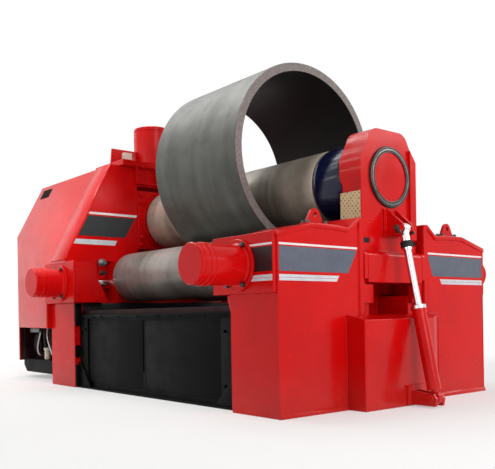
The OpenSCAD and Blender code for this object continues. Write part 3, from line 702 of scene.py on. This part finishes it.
# Each bar's name, its ends along the rolls, how far it stands out, its ends in height and its broken edge
panel_pieces = [block(name, (x0, PANEL_Y - out, z0), (x1, PANEL_Y + 2 * MM, z1), edge)
                for name, x0, x1, out, z0, z1, edge in (
                    ("sheet", -1.340, -0.132, 8 * MM, 0.070, 0.800, 2 * MM),
                    ("sheet", -0.072, 1.225, 8 * MM, 0.070, 0.800, 2 * MM),
                    ("bridge", -0.140, -0.060, 7 * MM, 0.070, 0.255, 2 * MM),
                    ("post", -PANEL_X, -1.352, 22 * MM, *POST_Z, 3 * MM),
                    ("post", 1.240, PANEL_X, 22 * MM, *POST_Z, 3 * MM),
                    ("rail", -PANEL_X, PANEL_X, 40 * MM, RAIL_Z, RAIL_Z + 30 * MM, 4 * MM))]
panel_pieces += [upright("gusset", PANEL_Y - 23 * MM, outline, -20 * MM) for outline in (
    ((-PANEL_X, 0.022), (-1.270, 0.022), (-1.290, 0.055), (-1.500, 0.300), (-PANEL_X, 0.300)),
    ((PANEL_X, 0.022), (PANEL_X, 0.300), (1.440, 0.300), (1.200, 0.045), (1.190, 0.022)))]
panel_pieces += [block("hook", (-PANEL_X, -1.403, z0), (-1.528, -1.320, z1))
                 for z0, z1 in ((0.740, 1.010), (0.022, 0.270))]
black_part(both_halves(joined("side_panel_sheets", panel_pieces)), black_enamel)
PANEL_BOLTS = ((-1.485, 0.655), (-1.485, 0.415), (-1.400, 0.700), (-1.400, 0.200), (1.300, 0.700), (1.300, 0.200))
RAIL_BOLTS = [(x, 0.848) for x in (-1.450, -1.174, -0.980, -0.600, -0.200, 0.200, 0.600, 1.000, 1.400)]
for side, half in SIDES:
    for kind, out, places in (("panel", 22 * MM, PANEL_BOLTS), ("rail", 25 * MM, RAIL_BOLTS)):
        bolts(f"{half}_{kind}_bolts", 0.024, [(x, side * (abs(PANEL_Y) + out), z) for x, z in places],
              (0, side, 0), "machine", "black_paint", black_enamel)

# ---- Drive end: column slot, hood seam, louvres, doors, the open bay under the hood

COLUMN_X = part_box("drive_column")[1].x
SLOT_HALF = 0.045
# A black oval plate with a sunken middle stands for the slot in the column's face: painted shade in the opening
bpy.ops.mesh.primitive_cylinder_add(vertices=32, radius=0.034, depth=6 * MM, location=(0, 0, 0),
                                    rotation=(0, math.pi / 2, 0))
slot_shade_plate = settled(bpy.context.object, "column_slot_shade")
for vertex in slot_shade_plate.data.vertices:
    vertex.co.z += math.copysign(SLOT_HALF, vertex.co.z)
    vertex.co += Vector((COLUMN_X, -1.366, 0.432))
pick(slot_shade_plate, "FACE", lambda face: face.normal.x > 0.9)
bpy.ops.mesh.inset(thickness=6 * MM, depth=0)
bpy.ops.mesh.inset(thickness=1 * MM, depth=-1.5 * MM)
leave()
black_part(both_halves(rounded(outward(slot_shade_plate), 0)), black_enamel)

# A black strip along the foot of the column's inner face, under the rolls
black_part(block("black_strip_under_rolls", (COLUMN_X - 2 * MM, -1.290, 0.860), (COLUMN_X + 5 * MM, 1.290, 1.016), 2 * MM))

# The portal of the hood is a heavier sheet lapped over the rest, up one slope, over the roof and down the other
EAVE, RIDGE = Vector((0, -1.465, 1.544)), Vector((0, -0.813, 2.780))
SLOPE_OUT = Vector((0, -1.236, 0.652)).normalized()
LAP, LAP_X = 8 * MM, -2.060
under, over = ([*front, *(REAR @ point for point in reversed(front))] for front in (
    (EAVE, RIDGE), (EAVE + SLOPE_OUT * LAP, RIDGE + Vector((0, -4.5 * MM, LAP)))))
red_part(cut_plate("hood_portal_lap", [Vector((HOOD_X - 4 * MM, p.y, p.z)) for p in under + over[::-1]],
                   (LAP_X - HOOD_X + 4 * MM, 0, 0)))


def slope_plate(name, ends, low, high, thick, width):
    """A plate on the front slope of the hood, between two x.

    Low and high are its edges, each as a share of the way from the eave to the ridge and a height off the slope.
    """
    def at(x, up, out):
        place = EAVE.lerp(RIDGE, up) + SLOPE_OUT * out
        return x, place.y, place.z

    x0, x1 = ends
    return cut_plate(name, [at(x0, *low), at(x1, *low), at(x1, *high), at(x0, *high)], SLOPE_OUT * thick, width)


VENT_X, SLAT_X, VENT_LOW, VENT_HIGH, SLATS = (-3.590, -3.310), (-3.578, -3.322), 0.838, 0.938, 6
# The black plate under the slats stands for the dark of the vent's openings: painted shade
vent = [slope_plate("frame", VENT_X, (VENT_LOW, -2 * MM), (VENT_HIGH, -2 * MM), 5 * MM, 2 * MM)]
for row in range(SLATS):
    low = VENT_LOW + (row + 0.35) * (VENT_HIGH - VENT_LOW) / SLATS
    vent.append(slope_plate("slat", SLAT_X, (low, 2 * MM), (low + 0.010, 12 * MM), 2 * MM, 0))
black_part(both_halves(joined("hood_vents", vent)), black_enamel)

# Service doors on the far end and a pair of louvred covers, for whoever walks round the machine
FAR_X = hood_low.x
door_pieces = []
for y0, y1, hinge_y in ((-1.060, -0.020, -1.060), (0.020, 1.060, 1.060)):
    door_pieces.append(block("door", (FAR_X - 5 * MM, y0, 0.800), (FAR_X + 2 * MM, y1, 1.960)))
    door_pieces += [turned("hinge", (FAR_X - 9 * MM, hinge_y, z), (0, 0, 1),
                           [(0, 0), (0, 0.011), (0.1, 0.011), (0.1, 0)], 16) for z in (0.930, 1.730)]
red_part(joined("service_doors", door_pieces))
handles = [block("handle", (FAR_X - 34 * MM, y - 10 * MM, 1.300), (FAR_X - 24 * MM, y + 10 * MM, 1.470), 4 * MM)
           for y in (-0.080, 0.080)]
handles += [block("post", (FAR_X - 28 * MM, y - 7 * MM, z), (FAR_X - 2 * MM, y + 7 * MM, z + 14 * MM), 2 * MM)
            for y in (-0.080, 0.080) for z in (1.310, 1.446)]
black_part(joined("door_handles", handles))
louvres = [upright("louvre", y, [(FAR_X + 1 * MM, z + 0.026), (FAR_X + 1 * MM, z), (FAR_X - 14 * MM, z)],
                   0.520, 1 * MM) for z in (2.120 + row * 0.045 for row in range(9)) for y in (-0.760, 0.240)]
red_part(joined("hood_louvres", louvres))

# The far end wall runs on down to the tray under the hood, with folded edges
SKIRT_Z, SKIRT_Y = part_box("housing_skid")[1].z - 0.024, 1.203
skirt = [block("sheet", (FAR_X + 2 * MM, y0, SKIRT_Z), (FAR_X + reach, y1, hood_low.z + 4 * MM), 2 * MM)
         for y0, y1, reach in ((-SKIRT_Y, SKIRT_Y, 12 * MM), (-SKIRT_Y - 4 * MM, -SKIRT_Y + 4 * MM, 30 * MM),
                               (SKIRT_Y - 4 * MM, SKIRT_Y + 4 * MM, 30 * MM))]
red_part(joined("far_end_skirt", skirt))
# A liner inside the skirt in the near-black red: painted shade in the bay under the hood
fitted(block("far_end_shade_liner", (FAR_X + 11 * MM, 0.012 - SKIRT_Y, SKIRT_Z),
             (FAR_X + 16 * MM, SKIRT_Y - 0.012, hood_low.z), 1 * MM), "machine", "dark_red_paint", painted_shade_red_enamel)

# The bay under the hood: a bracket, pressure tubes, a return filter and a dark motor end
steel_part(block("bay_bracket", (-3.480, -1.150, 0.640), (-3.180, -1.100, 0.700)), grey_fitting)
for n, (x, bulge, radius) in enumerate(((-3.160, 0.06, 0.020), (-3.070, 0.10, 0.020), (-2.980, 0.08, 0.016),
                                        (-3.300, -0.05, 0.016), (-2.900, 0.05, 0.014))):
    tube(f"bay_tube_{n}", [(x, -1.060, 0.705), (x, -1.075, 0.600), (x + bulge, -1.090, 0.470),
                           (x + bulge * 1.6, -1.080, 0.360), (x + bulge * 1.2, -1.040, 0.290),
                           (x + bulge, -0.968, 0.285)], radius, tube_steel if n % 2 else black_rubber_and_shade)
bay_filter = turned("bay_filter", (-3.060, -1.080, 0.262), (0, 0, 1),
                    [(0, 0), (0, 0.034), (0.006, 0.040), (0.110, 0.040), (0.116, 0.034), (0.122, 0.034),
                     (0.124, 0.048), (0.160, 0.048), (0.164, 0.042), (0.164, 0)], 36)
steel_part(bay_filter, cream_coat)
# The motor end takes the near-black red, as painted shade in the bay
bay_motor = turned("bay_motor", (-3.420, -0.972, 0.480), (0, -1, 0),
                   [(0, 0), (0, 0.130), (0.050, 0.130), (0.056, 0.118), (0.080, 0.118), (0.086, 0.130),
                    (0.098, 0.130), (0.104, 0.060), (0.110, 0.060), (0.110, 0)], 40)
fitted(bay_motor, "machine", "dark_red_paint", painted_shade_red_enamel)

# Fittings between the front drive bracket and the roll
steel_part(turned("grease_manifold", (-1.372, -1.130, 1.500), (1, 0, 0),
                  [(0, 0), (0, 0.050), (0.030, 0.050), (0.034, 0.040), (0.060, 0.040), (0.064, 0.028),
                   (0.090, 0.028), (0.090, 0)], 6), grey_fitting)
black_part(turned("grease_unions", (-1.372, -1.128, 1.375), (1, 0, 0),
                  [(0, 0), (0, 0.034), (0.035, 0.034), (0.040, 0.024), (0.070, 0.024), (0.070, 0)], 6))

# ---- Tower over the drive end


def bolt_circle(radius, count, first):
    """Offsets of bolts spaced evenly round a circle, the first of them at an angle in degrees."""
    angles = [math.radians(first + 360 / count * n) for n in range(count)]
    return [(radius * math.cos(angle), radius * math.sin(angle)) for angle in angles]


lift_low, lift_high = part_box("lift_ram")
LIFT_X, LIFT_R = (lift_low.x + lift_high.x) / 2, (lift_high.x - lift_low.x) / 2
LIFT_TALL = lift_high.z - lift_low.z
red_part(turned("lift_ram_turned", (LIFT_X, 0, lift_low.z), (0, 0, 1),
                [(0, 0), (0, LIFT_R), (0.005, LIFT_R), (LIFT_TALL - 0.068, LIFT_R),
                 (LIFT_TALL - 0.062, LIFT_R - 0.008), (LIFT_TALL - 0.052, LIFT_R - 0.008),
                 (LIFT_TALL - 0.048, LIFT_R - 0.002), (LIFT_TALL - 0.012, LIFT_R - 0.002),
                 (LIFT_TALL, LIFT_R - 0.016), (LIFT_TALL, 0)], 96), "lift_ram")
shelf_low, shelf_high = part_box("tower_shelf")
bolts("tower_bolts", 0.046, [(LIFT_X + x, y, shelf_high.z) for x, y in bolt_circle(0.275, 8, 22.5)], (0, 0, 1))
steel_part(block("junction_box", (LIFT_X + 15 * MM, -0.490, shelf_high.z + 0.02),
                 (LIFT_X + 85 * MM, -0.370, shelf_high.z + 0.170), 6 * MM), cream_coat)
SEAM_X, SHELF_TOP, SHELF_SEAM = LIFT_X + 15 * MM, shelf_high.z + 2 * MM, shelf_low.z + 0.215
welds("tower_welds", [((SEAM_X, -0.640, SHELF_TOP), (SEAM_X, -0.262, SHELF_TOP)),
                      ((HOOD_X + 2 * MM, -0.690, SHELF_SEAM), (HOOD_X + 2 * MM, -0.020, SHELF_SEAM)),
                      ((HOOD_X - 2 * MM, -1.455, 1.560), (HOOD_X - 2 * MM, -0.820, 2.765), 6 * MM)])

neck_low, neck_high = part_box("neck_flange")
bolts("neck_flange_bolts", 0.046, [(neck_high.x, y, TOP_Z + z) for y, z in bolt_circle(0.325, 12, 15)],
      (1, 0, 0), "top_carriage", "red_paint", red_enamel)
bolts("bearing_block_bolts", 0.050,
      [(neck_low.x, sy * 0.385, TOP_Z + sz * z) for sy in (-1, 1) for sz in (-1, 1) for z in (0.230, 0.320)],
      (1, 0, 0), "top_carriage", "red_paint", red_enamel)

# ---- Yoke and tilt cylinder

welds("yoke_welds", [((YOKE_X + 1 * MM, -0.110, 1.545), (YOKE_X + 1 * MM, -0.110, 1.803), 5 * MM, 20 * MM),
                     ((YOKE_X - 2 * MM, -0.385, 1.414), (YOKE_X - 2 * MM, -0.020, 1.414), 7 * MM)], "yoke")
ring_low, ring_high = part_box("yoke_ring")
RING_R = (ring_high.z - ring_low.z) / 2


def shade_rings(name, x, thick, bands):
    """Thin black rings round the seat ring's axis, painted as shade. Each band is measured inwards from the seat
    ring's rim.
    """
    rings = [turned("ring", (x, 0, TOP_Z), (1, 0, 0),
                    [(0, RING_R - deep), (thick, RING_R - deep), (thick, RING_R - near), (0, RING_R - near)],
                    96, ring=True) for deep, near in bands]
    black_part(joined(name, rings), body="yoke")


# Black rings painted as the shade in the gaps either side of the seat ring, and in turned grooves that leave a
# bright line of steel round its middle
shade_rings("ring_gap_shade", YOKE_X, 1.5 * MM, ((2 * MM, -8 * MM), (62 * MM, 48 * MM)))
shade_rings("ring_groove_shade", ring_high.x - 0.5 * MM, 1.7 * MM, ((45 * MM, 31 * MM), (17 * MM, 4 * MM)))
# Black blocks in the two notches at the yoke's foot, as painted shade
shade_blocks = [block("shade_block", (YOKE_X - 15 * MM, y, 1.482), (YOKE_X - 7 * MM, y + 0.098, 1.526), 0.5 * MM)
           for y in (-0.389, 0.291)]
black_part(joined("notch_painted_shade", shade_blocks), body="yoke")

PIN_X, PIN_Z, EAR_Y = END_X + 0.110, 1.616, 0.094
pin_pieces = []
for side in (-1, 1):
    face_y = side * EAR_Y
    pin_pieces.append(turned("pin_end", (PIN_X, face_y, PIN_Z), (0, side, 0),
                             [(0, 0), (0, 0.029), (0.014, 0.029), (0.018, 0.025), (0.018, 0.010), (0.013, 0.006),
                              (0.013, 0)], 32))
    pin_pieces.append(block("keeper", (PIN_X - 0.010, face_y - 0.004, PIN_Z - 0.052),
                            (PIN_X + 0.050, face_y + side * 0.012, PIN_Z - 0.024), 2 * MM))
steel_part(joined("upper_pin_hardware", pin_pieces), bolt_steel, "yoke")
bolts("tilt_bracket_bolts", 0.024, [(YOKE_X + 0.025, y, 1.563) for y in (-0.085, -0.040, 0.040, 0.085)],
      (1, 0, 0), "yoke", "red_paint", red_enamel)

CYL_LOW, CYL_HIGH = Vector((END_X + 0.435, 0, 0.085)), Vector((PIN_X, 0, PIN_Z))
CYL = (CYL_HIGH - CYL_LOW).normalized()
# Pale gland ring where the rod leaves the barrel
gland = turned("barrel_gland", CYL_LOW + CYL * 0.804, CYL,
               [(0, 0.0350), (0, 0.066), (0.005, 0.070), (0.030, 0.070), (0.034, 0.066), (0.034, 0.050),
                (0.040, 0.046), (0.040, 0.0350)], 48, ring=True)
fitted(gland, "tilt_barrel", "chrome", hard_chrome)
collar = turned("rod_end_lock_ring", CYL_HIGH - CYL * 0.185, CYL,
                [(0, 0.0435), (0, 0.050), (0.004, 0.054), (0.026, 0.054), (0.028, 0.048), (0.034, 0.048),
                 (0.036, 0.054), (0.056, 0.054), (0.060, 0.050), (0.060, 0.0435)], 40, ring=True)
black_part(collar, body="tilt_rod_end")
red_part(joined("lower_pin_caps", [turned("cap", (CYL_LOW.x, side * 0.080, CYL_LOW.z), (0, side, 0),
                                          [(0, 0), (0, 0.032), (0.006, 0.032), (0.009, 0.029), (0.009, 0)], 32)
                                   for side in (-1, 1)]))
red_part(block("clevis_foot", (foot_high.x - 0.004, -0.115, 0.012), (foot_high.x + 0.022, 0.115, 0.190), 4 * MM))

# The sleeve that seats in the yoke: a broad chamfer towards the roll, then a slightly prouder ground band
sleeve = turned("sleeve_turned", (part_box("top_roll_sleeve")[0].x, 0, TOP_Z), (1, 0, 0),
                [(0, 0), (0, 0.360), (0.006, 0.364), (0.050, 0.374), (0.056, 0.376), (0.330, 0.376), (0.340, 0.372),
                 (0.372, 0.360), (0.372, 0.222), (0.560, 0.162), (0.568, 0.155), (0.568, 0)], 128)
fitted(sleeve, "top_roll", "navy_paint", navy_enamel, "top_roll_sleeve")

# ---- Floor, light and camera


def seen_outright(tree):
    """The light path, and 1 where the camera or a mirror sees the surface."""
    rays = add(tree, "ShaderNodeLightPath")
    return rays, add(tree, "ShaderNodeMath", {"operation": "MAXIMUM"},
                     {0: rays.outputs["Is Camera Ray"], 1: rays.outputs["Is Glossy Ray"]}).outputs[0]


bpy.ops.mesh.primitive_plane_add(size=90, location=(0, 0, 0))
floor = settled(bpy.context.object, "floor")
# Pale studio floor: white where it catches the light, and plain white to the eye far off, so no horizon shows
floor_paint, ground, floor_shader, floor_place = start_finish(
    "white_studio_floor", Base_Color=linear("F7F7F6"), Roughness=0.9, Specular_IOR_Level=0.1)
distance = add(ground, "ShaderNodeVectorMath", {"operation": "LENGTH"}, {0: floor_place})
far_off = add(ground, "ShaderNodeMapRange", {"interpolation_type": "SMOOTHSTEP", 1: 3.6, 2: 7.6, 3: 0.4},
              {0: distance.outputs["Value"]})
floor_share = add(ground, "ShaderNodeMath", {"operation": "MULTIPLY"},
                  {0: far_off.outputs[0], 1: seen_outright(ground)[1]})
plain_white = add(ground, "ShaderNodeEmission", {"Strength": 1.0})
floor_mix = add(ground, "ShaderNodeMixShader", None,
                {0: floor_share.outputs[0], 1: floor_shader.outputs[0], 2: plain_white.outputs[0]})
floor_output = next(node for node in ground.nodes if node.type == "OUTPUT_MATERIAL")
ground.links.new(floor_mix.outputs[0], floor_output.inputs["Surface"])
floor.data.materials.append(floor_paint)

world = bpy.data.worlds.new("studio")
bpy.context.scene.world = world
world.use_nodes = True
sky = world.node_tree
sky.nodes.clear()
sky_rays, sky_seen = seen_outright(sky)
white = add(sky, "ShaderNodeMath", {"operation": "MAXIMUM"},
            {0: sky_seen, 1: sky_rays.outputs["Is Transmission Ray"]})
ambient = add(sky, "ShaderNodeBackground", {"Color": (1, 1, 1, 1), "Strength": 0.37})
backdrop = add(sky, "ShaderNodeBackground", {"Color": (1, 1, 1, 1), "Strength": 1.0})
sky_mix = add(sky, "ShaderNodeMixShader", None, {0: white.outputs[0], 1: ambient.outputs[0], 2: backdrop.outputs[0]})
add(sky, "ShaderNodeOutputWorld", None, {"Surface": sky_mix.outputs[0]})


def soft_light(name, place, target, size, power, spread=180):
    """A broad lamp that looks at a point. The spread is how wide it shines, in degrees."""
    lamp = bpy.data.lights.new(name, "AREA")
    lamp.shape = "RECTANGLE"
    lamp.size, lamp.size_y = size
    lamp.energy = power
    lamp.spread = math.radians(spread)
    holder = bpy.data.objects.new(name, lamp)
    bpy.context.scene.collection.objects.link(holder)
    holder.location = place
    holder.rotation_euler = (Vector(target) - Vector(place)).to_track_quat("-Z", "Y").to_euler()


# Rows of strip lamps along the machine, from the front wall up over the roof, as a hall has them
for number, (y, z, wide, power) in enumerate(((-7.7, 4.4, 0.4, 45), (-5.9, 7.6, 0.4, 85), (-4.3, 8.5, 0.35, 110),
                                              (-2.3, 9.3, 0.8, 240), (-0.9, 9.7, 0.35, 110), (1.2, 10.1, 0.5, 130))):
    soft_light(f"hall_strip_{number}", (-4.5, y, z), (-4.5, 0, 1.6), (9.0, wide), power)
soft_light("drop_end_lamp", (9.5, -1.0, 4.2), (1.8, 0, 1.2), (4.5, 4.0), 290)
soft_light("drop_end_strip", (6.6, 5.8, 4.8), (2.2, 0, 1.5), (5.0, 1.2), 110)
# A narrow lamp past the shell onto the face of the hood
soft_light("hood_lamp", (2.0, -3.0, 4.5), (-2.3, -1.5, 1.9), (0.6, 0.6), 5, spread=34)
soft_light("drive_end_lamp", (-13.0, -4.5, 5.2), (-2.5, 0, 1.4), (6.0, 5.0), 40)
soft_light("front_lamp", (2.5, -9.5, 4.0), (0.5, 0, 1.0), (6.0, 3.0), 25)

# The camera stands off the front corner of the drop end, low down and a little rolled
EYE, CAMERA_ROLL = (6.365, -5.287, 0.85), math.radians(0.9)
camera = bpy.data.objects.new("camera", bpy.data.cameras.new("camera"))
bpy.context.scene.collection.objects.link(camera)
camera.data.lens = 51.7
camera.data.sensor_width = 36
camera.data.shift_y = 0.161
look = Vector((-0.768, 0.640, 0)).normalized()
level_right = look.cross(Vector((0, 0, 1))).normalized()
level_up = level_right.cross(look)
right = level_right * math.cos(CAMERA_ROLL) - level_up * math.sin(CAMERA_ROLL)
up = level_right * math.sin(CAMERA_ROLL) + level_up * math.cos(CAMERA_ROLL)
camera.matrix_world = Matrix.Translation(EYE) @ Matrix((right, up, -look)).transposed().to_4x4()
bpy.context.scene.camera = camera
bpy.context.scene.view_settings.view_transform = "Standard"

bpy.context.view_layer.update()
